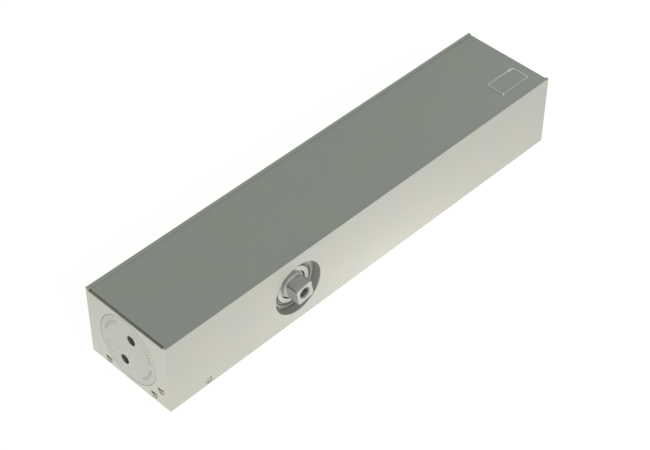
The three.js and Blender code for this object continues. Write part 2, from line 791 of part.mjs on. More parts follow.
const closer = new THREE.Group();
closer.name = 'door_closer';
closer.add(
  housing(), cover(), ...coverStuds(), spindle(), ...nearBearing(), ...farBearing(),
  ...springPiston(), ...damperPiston(), ...springs(), ...endPlugs(), ...springAdjuster(),
  ...valve('closing_speed_valve', closing_valve_place),
  ...valve('latching_speed_valve', latching_valve_place),
  ...valve('backcheck_valve', backcheck_valve_place),
  crossPlug());

export default closer;
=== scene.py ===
import json
import math

import bmesh
import bpy
from mathutils import Matrix, Vector


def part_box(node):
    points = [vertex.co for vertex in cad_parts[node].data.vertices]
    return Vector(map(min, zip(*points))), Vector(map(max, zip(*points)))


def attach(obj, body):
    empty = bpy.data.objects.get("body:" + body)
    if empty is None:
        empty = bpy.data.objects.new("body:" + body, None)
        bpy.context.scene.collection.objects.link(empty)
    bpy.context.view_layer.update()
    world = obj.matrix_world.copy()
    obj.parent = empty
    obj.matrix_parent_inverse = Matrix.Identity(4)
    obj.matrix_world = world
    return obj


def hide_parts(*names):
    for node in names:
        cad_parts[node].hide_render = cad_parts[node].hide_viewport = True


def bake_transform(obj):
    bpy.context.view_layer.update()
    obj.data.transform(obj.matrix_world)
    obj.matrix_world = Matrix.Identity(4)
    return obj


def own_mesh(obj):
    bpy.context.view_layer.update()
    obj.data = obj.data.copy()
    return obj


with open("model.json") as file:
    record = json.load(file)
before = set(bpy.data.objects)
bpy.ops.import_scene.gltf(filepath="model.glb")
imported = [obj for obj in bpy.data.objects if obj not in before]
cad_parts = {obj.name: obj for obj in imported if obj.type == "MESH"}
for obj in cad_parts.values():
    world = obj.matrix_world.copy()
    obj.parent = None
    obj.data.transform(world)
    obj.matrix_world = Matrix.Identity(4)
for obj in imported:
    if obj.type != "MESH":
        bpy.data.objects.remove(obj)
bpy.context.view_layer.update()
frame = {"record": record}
record = frame["record"]

# Sizes below are in millimetres, in the closer's own frame: +X runs towards the closing springs,
# -Y is the side that the spindle comes out of, and +Z is the front, which the cover closes.
MM = 0.001


# ---- Places that the frame gives ----
def box(node):
    """The lowest and highest corner of a piece of the closer."""
    low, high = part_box(node)
    return low / MM, high / MM


def middle(node):
    low, high = box(node)
    return (low + high) / 2


def half_width(node, axis):
    low, high = box(node)
    return (high["XYZ".index(axis)] - low["XYZ".index(axis)]) / 2


low, high = box("housing")
LEFT, RIGHT = low.x, high.x
NEAR, FAR = low.y, high.y
TOP = high.z
DECK, COVER_TOP = box("front_cover")[0].z, box("front_cover")[1].z
CYLINDER = middle("damper_end_plug")  # a point on the axis of the cylinder
SPINDLE = middle("near_bearing_cup")  # a point on the axis of the spindle
TO_SPINDLE = Matrix.Translation(Vector((SPINDLE.x, 0, SPINDLE.z)) * MM)  # moves Y's axis to it

# ---- Sizes that several pieces share ----
BORE = 18.6
PISTON = 18.3
JOURNAL = 8
SPIGOT = 8  # length of the spring piston's spigot, inside the inner spring
SEAT_FLANGE = 5  # thickness of the spring seat under its hub
SCREW_NECK = 4.6
LIP = 2  # thickness of the housing's side lips
DISC_GAP = 0.12  # round the discs in the two ends
SEAT_GAP = 0.3
SMALL_GAP = 0.2
PAST = 1  # how far a cutter runs beyond the face that it opens
TURN_STEPS = 36  # steps in a turn of a thread or a spring


# ---- Modelling tools ----
AXES = {
    "X": (Vector((1, 0, 0)), Vector((0, 0, 1))),
    "Y": (Vector((0, 1, 0)), Vector((1, 0, 0))),
    "Z": (Vector((0, 0, 1)), Vector((1, 0, 0))),
}


def only(piece):
    """Leaves one piece selected and active."""
    bpy.ops.object.select_all(action="DESELECT")
    piece.select_set(True)
    bpy.context.view_layer.objects.active = piece


def into_edit(piece):
    only(piece)
    bpy.ops.object.mode_set(mode="EDIT")


def out_of_edit():
    bpy.ops.object.mode_set(mode="OBJECT")


def modified(piece, kind, **settings):
    """Puts a modifier on the active piece and applies it."""
    modifier = piece.modifiers.new(kind, kind)
    for name, setting in settings.items():
        setattr(modifier, name, setting)
    bpy.ops.object.modifier_apply(modifier=modifier.name)


def added(add, **where):
    """Adds a primitive by itself and puts its place into its mesh."""
    bpy.ops.object.select_all(action="DESELECT")
    add(**where)
    bpy.ops.object.transform_apply(location=True, rotation=True, scale=True)
    return bpy.context.object


def pick(piece, kind, wanted):
    """Selects, in edit mode, the faces or edges that are wanted."""
    bpy.ops.mesh.select_mode(type=kind)
    bpy.ops.mesh.select_all(action="DESELECT")
    mesh = bmesh.from_edit_mesh(piece.data)
    for part in {"FACE": mesh.faces, "EDGE": mesh.edges}[kind]:
        if wanted(part):
            part.select_set(True)
    bmesh.update_edit_mesh(piece.data)


def soften(piece, width, segments, wanted=lambda edge: True):
    """Rounds the sharp outer edges, or those of them that are wanted."""
    sharp = math.radians(50)
    into_edit(piece)
    pick(piece, "EDGE", lambda e: e.calc_face_angle(0) > sharp and e.is_convex and wanted(e))
    bpy.ops.mesh.bevel(offset=width * MM, segments=segments, affect="EDGES", clamp_overlap=True)
    out_of_edit()
    return piece


def block(low, high):
    low, high = Vector(low), Vector(high)
    return added(
        bpy.ops.mesh.primitive_cube_add, size=1,
        location=(low + high) / 2 * MM, scale=(high - low) * MM)


def drawn(points):
    """A line through points, drawn from corner to corner. The piece is left in edit mode."""
    piece = added(bpy.ops.mesh.primitive_plane_add, size=MM, location=points[0] * MM)
    into_edit(piece)
    bpy.ops.mesh.select_mode(type="VERT")
    bpy.ops.mesh.merge(type="CENTER")
    for here, there in zip(points, points[1:]):
        step = tuple((there - here) * MM)
        bpy.ops.mesh.extrude_region_move(TRANSFORM_OT_translate={"value": step})
    bpy.ops.mesh.select_all(action="SELECT")
    return piece


def closed_up(piece, nearer=1e-6):
    """Merges what touches, turns the faces outwards, and leaves edit mode."""
    bpy.ops.mesh.select_all(action="SELECT")
    bpy.ops.mesh.remove_doubles(threshold=nearer)
    bpy.ops.mesh.normals_make_consistent(inside=False)
    out_of_edit()
    return piece


def eased(outline, ease):
    """Rounds the corners of an outline, each by its own third number or else by ease."""
    closed = outline[0][:2] == outline[-1][:2]
    corners = outline[:-1] if closed else outline
    rounded = []
    for i, corner in enumerate(corners):
        here = Vector(corner[:2])
        before = Vector(corners[i - 1][:2]) - here
        after = Vector(corners[(i + 1) % len(corners)][:2]) - here
        reach = corner[2] if len(corner) > 2 else ease
        reach = min(reach, before.length * 0.45, after.length * 0.45)
        at_end = not closed and i in (0, len(corners) - 1)
        if at_end or reach < 0.02:
            rounded.append(here)
            continue
        start, end = before.normalized() * reach, after.normalized() * reach
        for t in (0, 1 / 3, 2 / 3, 1):
            rounded.append(here + start * (1 - t) ** 2 + end * t ** 2)
    if closed:
        rounded.append(rounded[0])
    return rounded


def turned(axis, centre, outline, ease=0.15, sides=None):
    """A piece from the lathe: its outline is drawn beside the axis, then spun round it. The outline
    is a list of (radius, place along the axis), each with its own rounding if it has a third."""
    along, out = AXES[axis]
    centre = Vector(centre)
    centre -= along * centre.dot(along)
    points = [centre + out * r + along * a for r, a in eased(outline, ease)]
    widest = max(point[0] for point in outline)
    sides = sides or (96 if widest > 12 else 64 if widest > 5 else 40 if widest > 2 else 24)
    piece = drawn(points)
    bpy.ops.mesh.remove_doubles(threshold=1e-6)
    bpy.ops.mesh.spin(steps=sides, angle=2 * math.pi, center=centre * MM, axis=along)
    return closed_up(piece)


def rod(radius, start, end):
    return [(0, start), (radius, start), (radius, end), (0, end)]


def tube(inner, outer, start, end):
    return [(inner, start), (outer, start), (outer, end), (inner, end), (inner, start)]


def mouth(radius, face, outwards, ease):
    """The start of a drilling's outline: outside the face, then over a rounded rim."""
    outline = [(0, face + outwards * PAST), (radius + ease, face + outwards * PAST)]
    for i in range(5):
        angle = math.radians(90 + i * 22.5)
        outline.append((
            radius + ease + ease * math.cos(angle),
            face + outwards * (0.003 - ease + ease * math.sin(angle))))
    return outline


def section(major, minor, along):
    """The outline of a sealing ring, with the fine flash that its mould leaves."""
    outline = []
    for i in range(17):
        angle = 2 * math.pi * (i % 16) / 16
        reach = minor * (1.07 if i % 8 == 0 else 1)
        outline.append((major + reach * math.cos(angle), along + reach * math.sin(angle)))
    return outline


def slab(outline, start, end):
    """An outline in X and Z, given depth along Y."""
    points = [Vector((x, start, z)) for x, z in outline]
    piece = drawn([*points, points[0]])
    bpy.ops.mesh.remove_doubles(threshold=1e-6)
    bpy.ops.mesh.edge_face_add()
    depth = (0, (end - start) * MM, 0)
    bpy.ops.mesh.extrude_region_move(TRANSFORM_OT_translate={"value": depth})
    return closed_up(piece)


def combined(operation, piece, others):
    for other in others:
        only(piece)
        modified(piece, "BOOLEAN", operation=operation, solver="EXACT", object=other)
        bpy.data.objects.remove(other)
    return piece


def cut(piece, *cutters):
    return combined("DIFFERENCE", piece, cutters)


def welded(piece, *others):
    return combined("UNION", piece, others)


def trimmed(piece, keeper):
    return combined("INTERSECT", piece, [keeper])


def drill(piece, axis, centre, face, outwards, floor, radius, rim, tip=0):
    """Drills from a face, which looks outwards, to a floor that ends in a cone of height tip."""
    cut(piece, turned(axis, centre, [
        *mouth(radius, face, outwards, rim), (radius, floor), (0, floor - outwards * tip),
    ], ease=0))


def gathered(pieces):
    """One object from pieces that don't touch."""
    only(pieces[0])
    for piece in pieces:
        piece.select_set(True)
    bpy.ops.object.join()
    return bpy.context.object


def about(centre, axis, angle):
    """A turn about an axis through a point."""
    place = Matrix.Translation(Vector(centre) * MM)
    return place @ Matrix.Rotation(angle, 4, axis) @ place.inverted()


def copied(piece, move):
    """A copy with its own mesh, moved."""
    twin = piece.copy()
    twin.data = piece.data.copy()
    twin.data.transform(move)
    bpy.context.collection.objects.link(twin)
    return twin


def around(piece, axis, centre, count):
    """A piece and its copies, evenly spaced round an axis."""
    turns = [about(centre, axis, 2 * math.pi * i / count) for i in range(1, count)]
    return [piece] + [copied(piece, turn) for turn in turns]


def wound(piece, axis, turns, rise):
    """Winds a drawn line round and along an axis. Negative turns wind it left-handed."""
    out_of_edit()
    modified(
        piece, "SCREW", axis=axis, steps=TURN_STEPS, render_steps=TURN_STEPS,
        iterations=abs(turns), angle=math.copysign(2 * math.pi, turns), screw_offset=rise * MM)


def thread(axis, centre, root, crest, pitch, start, end):
    """A solid screw thread: a V wound round and along the axis, closed and trimmed to length."""
    along, out = AXES[axis]
    centre = Vector(centre)
    centre -= along * centre.dot(along)
    first = start - 1.5 * pitch
    v = [(root, first), (crest, first + pitch / 2), (root, first + pitch)]
    piece = drawn([out * r + along * a for r, a in v])
    wound(piece, axis, math.ceil((end - start) / pitch) + 2, pitch)
    halfway = (start + end) / 2 * MM
    into_edit(piece)
    bpy.ops.mesh.select_all(action="SELECT")
    bpy.ops.mesh.remove_doubles(threshold=2e-6)
    for side in (-1, 1):
        def open_end(edge):
            place = (edge.verts[0].co + edge.verts[1].co).dot(along) / 2
            return edge.is_boundary and (place - halfway) * side > 0
        pick(piece, "EDGE", open_end)
        bpy.ops.mesh.extrude_region_move()
        bpy.ops.mesh.merge(type="CENTER")
    closed_up(piece)
    piece.data.transform(Matrix.Translation(centre * MM))
    slope = crest - root
    outer = crest + slope
    return trimmed(piece, turned(axis, centre, [
        (0, start), (root, start), (outer, start + 2 * slope), (outer, end), (0, end),
    ], ease=0))


def coil(mean, wire, turns, start, end):
    """A compression spring with closed and ground ends. Negative turns wind it left-handed."""
    closed_turns, opening_turns, closed_pitch = 0.75, 0.35, 2.04 * wire
    piece = drawn([Vector((0, 0, mean)), Vector((0, 0, mean))])
    bpy.ops.mesh.merge(type="CENTER")
    wound(piece, "X", turns, 1)

    steps = abs(turns) * TURN_STEPS
    first, last = start + 0.5 * wire, end - 0.5 * wire
    open_share = []
    for i in range(steps):
        from_end = min(i, steps - 1 - i) / TURN_STEPS
        open_share.append(min(max((from_end - closed_turns) / opening_turns, 0), 1))
    closed_step = closed_pitch / TURN_STEPS
    open_step = (last - first - closed_step * steps) / sum(open_share)
    places = [first]
    for share in open_share:
        places.append(places[-1] + closed_step + open_step * share)
    into_edit(piece)
    mesh = bmesh.from_edit_mesh(piece.data)
    for corner in mesh.verts:
        corner.co.x = places[round(corner.co.x / MM * TURN_STEPS)] * MM
    bmesh.update_edit_mesh(piece.data)
    out_of_edit()

    bpy.ops.object.convert(target="CURVE")
    piece = bpy.context.object
    piece.data.bevel_depth = wire * MM
    piece.data.bevel_resolution = 5
    piece.data.use_fill_caps = True
    bpy.ops.object.convert(target="MESH")
    piece = bpy.context.object
    piece.data.transform(Matrix.Translation(Vector((0, CYLINDER.y, CYLINDER.z)) * MM))
    into_edit(piece)
    closed_up(piece)
    return trimmed(piece, block((start, -40, -20), (end, 40, 70)))


def halved(piece, x, side):
    """Cuts a piece off flat where it passes x, on one side."""
    into_edit(piece)
    bpy.ops.mesh.select_all(action="SELECT")
    bpy.ops.mesh.bisect(
        plane_co=(x * MM, 0, 0), plane_no=(side, 0, 0), use_fill=True, clear_outer=True)
    return closed_up(piece)


def smooth(piece):
    """Smooth shading that leaves flat faces flat."""
    only(piece)
    bpy.ops.object.shade_smooth_by_angle(angle=math.radians(36))
    modified(piece, "WEIGHTED_NORMAL", keep_sharp=True)


def dress(piece, finish_at, *finishes):
    """Gives a piece several finishes, and each face the one that finish_at picks for it."""
    for finish in finishes:
        piece.data.materials.append(finish.material)
    for face in piece.data.polygons:
        face.material_index = finishes.index(finish_at(face))


BODY_OF = {node: body for body, nodes in record["behaviour"]["bodies"].items() for node in nodes}


def fit(piece, node, finish=None, suffix="finished", rides=True):
    """Puts a piece in the place of the node that it stands for. Without a finish here, it keeps
    those that it was dressed in."""
    smooth(piece)
    piece.name = f"{node}_{suffix}"
    if finish:
        piece.data.materials.clear()
        piece.data.materials.append(finish.material)
    if rides:
        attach(piece, BODY_OF[node])
    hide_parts(node)


# ---- Finishes ----
class Value:
    """A number, vector or colour inside a material, with the sums that shader maths needs."""

    def __init__(self, finish, socket):
        self.finish = finish
        self.socket = socket

    def __add__(self, other):
        return self.finish.maths("ADD", self, other)

    def __sub__(self, other):
        return self.finish.maths("SUBTRACT", self, other)

    def __rsub__(self, other):
        return self.finish.maths("SUBTRACT", other, self)

    def __mul__(self, other):
        return self.finish.maths("MULTIPLY", self, other)

    __radd__ = __add__
    __rmul__ = __mul__


class Finish:
    """A material round one Principled shader, whose nodes all come from node()."""

    def __init__(self, name, metallic=1.0):
        self.material = bpy.data.materials.new(name)
        self.material.use_nodes = True
        self.tree = self.material.node_tree
        self.tree.nodes.clear()
        self.shader = self.node("ShaderNodeBsdfPrincipled", {}, {"Metallic": metallic})
        self.node("ShaderNodeOutputMaterial", {}, {"Surface": self.shader}, out=None)
        self.place = self.node("ShaderNodeTexCoord", out="Object")

    def node(self, kind, settings=None, values=None, out=0):
        """Adds a node, sets its settings, then its values or links, and gives one output."""
        made = self.tree.nodes.new(kind)
        for name, setting in (settings or {}).items():
            setattr(made, name, setting)
        for name, value in (values or {}).items():
            self.feed(made.inputs[name], value)
        return None if out is None else Value(self, made.outputs[out])

    def feed(self, socket, value):
        if isinstance(value, Value):
            self.tree.links.new(value.socket, socket)
        else:
            socket.default_value = value

    def maths(self, operation, first, second):
        return self.node("ShaderNodeMath", {"operation": operation}, {0: first, 1: second})

    def mixed(self, amount, first, second):
        """A colour between two, by an amount from 0 to 1."""
        return self.node(
            "ShaderNodeMix", {"data_type": "RGBA"}, {0: amount, 6: first, 7: second}, out=2)

    def noise(self, size, detail=2.0):
        """Noise whose patches are about this many millimetres across, 0.5 on average."""
        return self.node("ShaderNodeTexNoise", {}, {
            "Vector": self.place, "Scale": 1 / (size * MM), "Detail": detail})

    def between(self, value, low, high):
        """Stretches the part of a value between low and high over 0 to 1."""
        return self.node(
            "ShaderNodeMapRange", {}, {"Value": value, "From Min": low, "From Max": high})

    def from_axis(self, axis, centre):
        """The distance from an axis and the place along it, in millimetres."""
        along = "XYZ".index(axis)
        offset = [-c * MM for c in centre]
        offset[along] = 0
        spot = self.node("ShaderNodeMapping", {}, {"Vector": self.place, "Location": offset})
        place = self.node("ShaderNodeSeparateXYZ", {}, {"Vector": spot}, out=along)
        flat = [1, 1, 1]
        flat[along] = 0
        across = self.node("ShaderNodeVectorMath", {"operation": "MULTIPLY"}, {0: spot, 1: flat})
        distance = self.node(
            "ShaderNodeVectorMath", {"operation": "LENGTH"}, {0: across}, out="Value")
        return distance * (1 / MM), place * (1 / MM)

    def look(self, **values):
        """Feeds the shader's sockets, named as in its panel with _ for a space."""
        shader = self.shader.socket.node
        for name, value in values.items():
            self.feed(shader.inputs[name.replace("_", " ")], value)
        return self

    def bump(self, height, depth):
        """Raises the surface by up to this many millimetres."""
        return self.look(Normal=self.node(
            "ShaderNodeBump", {}, {"Height": height, "Distance": depth * MM}))


def tone(colour, factor):
    return [min(c * factor, 1) for c in colour] + [1]


def silver_lacquer(name, colour, roughness):
    """Sprayed silver: fine metal flake, a slight orange peel and faint clouds of tone."""
    finish = Finish(name)
    flake = finish.noise(0.16, detail=1.0)
    peel = finish.noise(1.1)
    clouds = finish.noise(17, detail=3.0)
    warm = [colour[0] * 1.02, colour[1] * 1.01, colour[2] * 0.97, 1]
    cool = [colour[0] * 0.97, colour[1] * 0.99, colour[2] * 1.02, 1]
    shade = finish.mixed(finish.between(clouds, 0.3, 0.7), cool, warm)
    speck = finish.between(flake, 0.52, 0.36)
    finish.look(
        Base_Color=finish.mixed(speck * 0.5, shade, tone(colour, 0.86)),
        Roughness=roughness + (clouds - 0.5) * 0.05 + (flake - 0.5) * 0.08)
    return finish.bump(flake * 0.3 + peel * 0.7, 0.0035)


def turned_metal(name, colour, roughness, axis, centre, marks=0.003, metallic=1.0):
    """Metal from the lathe: fine rings round the axis, and slightly uneven tone."""
    finish = Finish(name, metallic)
    distance, place = finish.from_axis(axis, centre)
    rings = finish.node("ShaderNodeCombineXYZ", {}, {"X": distance, "Y": place})
    lathe_marks = finish.node(
        "ShaderNodeTexNoise", {"noise_dimensions": "2D"},
        {"Vector": rings, "Scale": 5.0, "Detail": 3.0})
    stain = finish.noise(2.5, detail=3.0)
    shade = finish.between(stain, 0.25, 0.75) * 0.6 + finish.between(lathe_marks, 0.3, 0.7) * 0.4
    finish.look(
        Base_Color=finish.mixed(shade, tone(colour, 0.84), tone(colour, 1)),
        Roughness=roughness + (stain - 0.5) * 0.12 + (lathe_marks - 0.5) * 0.10)
    return finish.bump(lathe_marks, marks)


def drawn_wire(name, colour):
    """Oil-blacked spring wire: blotched, with fine pits."""
    finish = Finish(name)
    blotches = finish.noise(3.5, detail=4.0)
    pits = finish.noise(0.35)
    finish.look(
        Base_Color=finish.mixed(
            finish.between(blotches, 0.35, 0.7), tone(colour, 1), tone(colour, 1.6)),
        Roughness=0.42 + (blotches - 0.5) * 0.2)
    return finish.bump(pits, 0.006)


def moulded(name, colour, roughness, grain):
    """Rubber or plastic from a mould: matt, with a fine grain and a dusty bloom."""
    finish = Finish(name, metallic=0.0)
    bloom = finish.noise(4, detail=3.0)
    skin = finish.noise(grain)
    pale = [c * 1.35 + 0.006 for c in colour] + [1]
    finish.look(
        Base_Color=finish.mixed(finish.between(bloom, 0.4, 0.8), tone(colour, 1), pale),
        Roughness=roughness + (bloom - 0.5) * 0.15)
    return finish.bump(skin, 0.008)


SILVER = (0.60, 0.585, 0.53)
silver = silver_lacquer("housing_silver", SILVER, 0.36)
cover_silver = silver_lacquer("cover_silver", SILVER, 0.36)
plug_silver = turned_metal("plug_silver", SILVER, 0.38, "X", CYLINDER)
cap_silver = turned_metal("cap_silver", SILVER, 0.38, "Y", SPINDLE)
honed = turned_metal("honed_bore", (0.60, 0.60, 0.58), 0.30, "X", CYLINDER)
spindle_zinc = turned_metal(
    "spindle_zinc", (0.72, 0.72, 0.67), 0.46, "Y", SPINDLE, metallic=0.35)
# A dark grey for inside the arm's threaded hole: painted shade.
hole_painted_shade = turned_metal("hole_painted_shade", (0.20, 0.20, 0.19), 0.5, "Y", SPINDLE, metallic=0.7)
# A lighter, almost unmetallic grey for the spindle's shoulder face: painted highlight.
shoulder_painted_highlight = turned_metal("shoulder_painted_highlight", (0.78, 0.78, 0.73), 0.5, "Y", SPINDLE, metallic=0.1)
# A mid grey: on the square's corner strips it is painted shade, on the outward thread flanks in the
# arm's hole a painted highlight.
painted_light_midtone = turned_metal("painted_light_midtone", (0.42, 0.42, 0.39), 0.55, "Y", SPINDLE, metallic=0.4)
carrier_zinc = turned_metal("carrier_zinc", (0.53, 0.53, 0.50), 0.42, "Y", SPINDLE)
# A darker grey for the walls of the spindle's recess: painted shade, for the shade that falls
# inside the recess.
recess_painted_shade = turned_metal("recess_painted_shade", (0.42, 0.42, 0.39), 0.5, "Y", SPINDLE, metallic=0.1)
drilled_steel = turned_metal("drilled_steel", (0.40, 0.39, 0.38), 0.5, "X", CYLINDER, metallic=0.7)
badge_chrome = silver_lacquer("badge_chrome", (0.92, 0.92, 0.89), 0.2)
cup_steel = turned_metal("cup_steel", (0.63, 0.62, 0.58), 0.34, "Y", SPINDLE)
roller_steel = turned_metal("roller_steel", (0.80, 0.80, 0.77), 0.24, "Y", SPINDLE)
ball_steel = turned_metal("ball_steel", (0.82, 0.82, 0.80), 0.16, "X", CYLINDER, marks=0.001)
cage_steel = turned_metal("cage_steel", (0.36, 0.36, 0.36), 0.35, "Y", SPINDLE)
piston_steel = turned_metal("piston_steel", (0.40, 0.40, 0.41), 0.30, "X", CYLINDER)
pin_steel = turned_metal("pin_steel", (0.42, 0.42, 0.42), 0.25, "Y", SPINDLE)
screw_steel = turned_metal("screw_steel", (0.38, 0.38, 0.39), 0.34, "X", CYLINDER)
spring_wire = drawn_wire("spring_wire", (0.13, 0.135, 0.145))
rubber = moulded("black_rubber", (0.012, 0.012, 0.013), 0.62, 0.5)
plastic = moulded("black_plastic", (0.022, 0.022, 0.024), 0.45, 0.25)


def valve_brass(node):
    return turned_metal(f"{node}_brass", (0.72, 0.70, 0.63), 0.4, "X", middle(node))


# ---- Housing ----
def faces_up(face):
    return face.normal.z > 0.9


def four_corners(from_end, from_side):
    return [(x, y) for x in (LEFT + from_end, RIGHT - from_end)
            for y in (NEAR + from_side, FAR - from_side)]


def valve_drillings(valve, channel_length):
    """A valve's bore and channel, with a port at each end of the channel into the cylinder."""
    bore_depth, wide, channel, port, port_inset = 24, 2.3, 1.1, 0.9, 2
    place = middle(valve)
    floor = LEFT + bore_depth
    end = floor + channel_length
    bore = turned("X", place, [
        *mouth(wide, LEFT, -1, 0.45), (wide, floor), (channel, floor + 0.5), (channel, end),
        (0, end),
    ], ease=0)
    towards = Vector((0, CYLINDER.y - place.y, CYLINDER.z - place.z))
    reach = towards.length - BORE + PAST
    ports = []
    for x in (floor + port_inset, end - port_inset):
        start = Vector((x, place.y, place.z))
        ports.append(added(
            bpy.ops.mesh.primitive_cylinder_add, vertices=24, radius=port * MM,
            depth=reach * MM, rotation=towards.to_track_quat("Z", "Y").to_euler(),
            location=(start + towards.normalized() * reach / 2) * MM))
    return [bore, *ports]


def housing():
    end_rib = 0.5
    inner, slope_start, far_run, near_run = FAR - LIP, TOP - 0.9, 1.1, 0.3
    body = block((LEFT, NEAR, 0), (RIGHT, FAR, TOP))
    funnel = block((LEFT - PAST, -inner, slope_start), (RIGHT + PAST, inner, TOP + 0.8))
    into_edit(funnel)
    pick(funnel, "FACE", faces_up)
    bpy.ops.transform.resize(value=(1, (inner + far_run + near_run) / inner, 1))
    bpy.ops.transform.translate(value=(0, (far_run - near_run) * MM, 0))
    out_of_edit()
    channel = block(
        (LEFT - PAST, -inner, COVER_TOP), (RIGHT + PAST, inner, slope_start + 0.1))
    above_deck = block((LEFT + end_rib, -inner, DECK), (RIGHT + PAST, inner, COVER_TOP + 0.1))
    cut(body, channel, funnel, above_deck)
    into_edit(body)
    bpy.ops.mesh.select_all(action="SELECT")
    bpy.ops.mesh.dissolve_limited(angle_limit=math.radians(1))
    out_of_edit()
    soften(body, 0.25, 3)

    disc = half_width("damper_end_plug", "Y") + DISC_GAP
    disc_seat = 1.5
    cylinder = [
        *mouth(disc, LEFT, -1, 0.12), (disc, LEFT + disc_seat), (BORE, LEFT + disc_seat, 0.4),
        (BORE, RIGHT - disc_seat, 0.4), (disc, RIGHT - disc_seat),
        *reversed(mouth(disc, RIGHT, 1, 0.12)),
    ]
    recess, recess_mouth, shoulder = 15.1, 15.7, 14.2
    carrier_seat = -20.3
    far_bore = half_width("far_bearing_cup", "X") + SMALL_GAP
    cap_bore = half_width("far_bearing_cap", "X") + SMALL_GAP
    cap_seat = box("far_cap_seal")[0].y
    near_bore = [*mouth(recess_mouth, NEAR, -1, 0.2), (recess, box("bearing_carrier")[0].y),
                 (recess, carrier_seat), (shoulder, carrier_seat), (shoulder, 0), (0, 0)]
    opposite_bore = [*mouth(cap_bore, FAR, 1, 0.2), (cap_bore, cap_seat), (far_bore, cap_seat),
                     (far_bore, 0), (0, 0)]
    cut(body,
        turned("X", CYLINDER, cylinder, ease=0),
        turned("Y", SPINDLE, near_bore, ease=0),
        turned("Y", SPINDLE, opposite_bore, ease=0))
    channels = {"closing_speed_valve": 62, "latching_speed_valve": 50, "backcheck_valve": 62}
    for node, length in channels.items():
        cut(body, *valve_drillings(node, length))
    channel_reach = middle("closing_speed_valve").y + 1.1
    drill(body, "Y", middle("channel_plug"), NEAR, -1, channel_reach, radius=1.9, rim=0.2)
    screw, head, head_depth = 2.7, 4.4, 5.5
    for x, y in four_corners(36.5, 5.6):
        fixing_hole = turned("Z", (x, y, 0), [
            *mouth(head, DECK, 1, 0.2), (head, DECK - head_depth), (screw, DECK - head_depth),
            *reversed(mouth(screw, 0, -1, 0.2)),
        ], ease=0)
        cut(body, fixing_hole)
    stud_floor = box("cover_stud_1")[0].z - SEAT_GAP
    for x, y in four_corners(10.5, 7):
        drill(body, "Z", (x, y, 0), DECK, 1, stud_floor, radius=2.5, rim=0.1)

    def finish_at(face):
        place = face.center / MM
        off_cylinder = math.hypot(place.y - CYLINDER.y, place.z - CYLINDER.z)
        off_spindle = math.hypot(place.x - SPINDLE.x, place.z - SPINDLE.z)
        if off_cylinder < BORE + 0.05 and abs(place.x) < RIGHT - disc_seat:
            return honed
        # Faces inside the spindle's recess take the darker grey, painted shade.
        in_recess = off_spindle < recess_mouth + 0.02
        return recess_painted_shade if in_recess and NEAR + 0.22 < place.y < carrier_seat + 0.1 else silver

    dress(body, finish_at, silver, honed, recess_painted_shade)
    fit(body, "housing")


# ---- Front cover ----
def front_cover():
    """The clip-on front, with a blank raised badge near its spring end."""
    low, high = box("front_cover")
    side = FAR - LIP - 0.03
    top = high.z + 0.45
    cover = soften(block((low.x, -side, low.z), (high.x, side, top)), 0.12, 3)
    badge_top = top + 0.6
    corner, border, bevel, sunk = 2.2, 0.7, 0.15, 0.35  # of the badge
    badge = block((112.5, -20.2, low.z + 0.2), (134.5, -8.2, badge_top))
    soften(badge, corner, 6, lambda e: abs(e.verts[0].co.z - e.verts[1].co.z) > 0.4 * MM)
    into_edit(badge)
    pick(badge, "FACE", faces_up)
    bpy.ops.mesh.inset(thickness=border * MM)
    bpy.ops.mesh.inset(thickness=bevel * MM)
    bpy.ops.transform.translate(value=(0, 0, -sunk * MM))
    out_of_edit()
    soften(badge, 0.1, 2, lambda e: min(v.co.z for v in e.verts) > (top + 0.1) * MM)
    welded(cover, badge)

    def finish_at(face):
        place = face.center / MM
        on_rim = place.z > top + 0.02 and face.area < 50 * MM ** 2  # not the badge's wide floor
        return badge_chrome if on_rim else cover_silver

    dress(cover, finish_at, cover_silver, badge_chrome)
    fit(cover, "front_cover")


def cover_studs():
    """Barbed plastic studs, split from the tip so that they can spring into their holes."""
    low, high = box("cover_stud_1")
    centre = (low + high) / 2
    outer, neck, slot = 2.2, 1.8, 0.35
    stud = turned("Z", centre, [
        (0, low.z), (neck - 0.2, low.z), (outer, low.z + 0.8, 0.3), (neck, low.z + 1.8, 0.3),
        (neck, high.z - 0.4, 0.3), (outer, high.z), (0, high.z),
    ])
    bottom, top = Vector((0, 0, -3)), Vector((0, 0, 0.6))
    for across in ((slot, 3, 0), (3, slot, 0)):
        reach = Vector(across)
        cut(stud, block(centre - reach + bottom, centre + reach + top))
    for i in range(4):
        node = f"cover_stud_{i + 1}"
        move = Matrix.Translation((middle(node) - centre) * MM)
        fit(copied(stud, move), node, plastic)
    bpy.data.objects.remove(stud)


# ---- Spindle with its heart cam ----
def cam_outline():
    """What a roller leaves of the cam as its centre runs on a spiral, mirrored at the valley."""
    valley, rate, reach, step = 15.5, 3, 7.3, 2.5
    outline = []
    for i in range(round(360 / step)):
        angle = math.radians(i * step)
        surface = valley
        for j in range(-120, 121):
            turn = j / 100
            folded = abs(math.atan2(math.sin(angle + turn), math.cos(angle + turn)))
            pitch = valley + rate * folded
            across = pitch * math.sin(turn)
            if abs(across) < reach:
                surface = min(surface, pitch * math.cos(turn) - math.sqrt(reach ** 2 - across ** 2))
        outline.append((
            SPINDLE.x + surface * math.cos(angle), SPINDLE.z + surface * math.sin(angle)))
    return outline


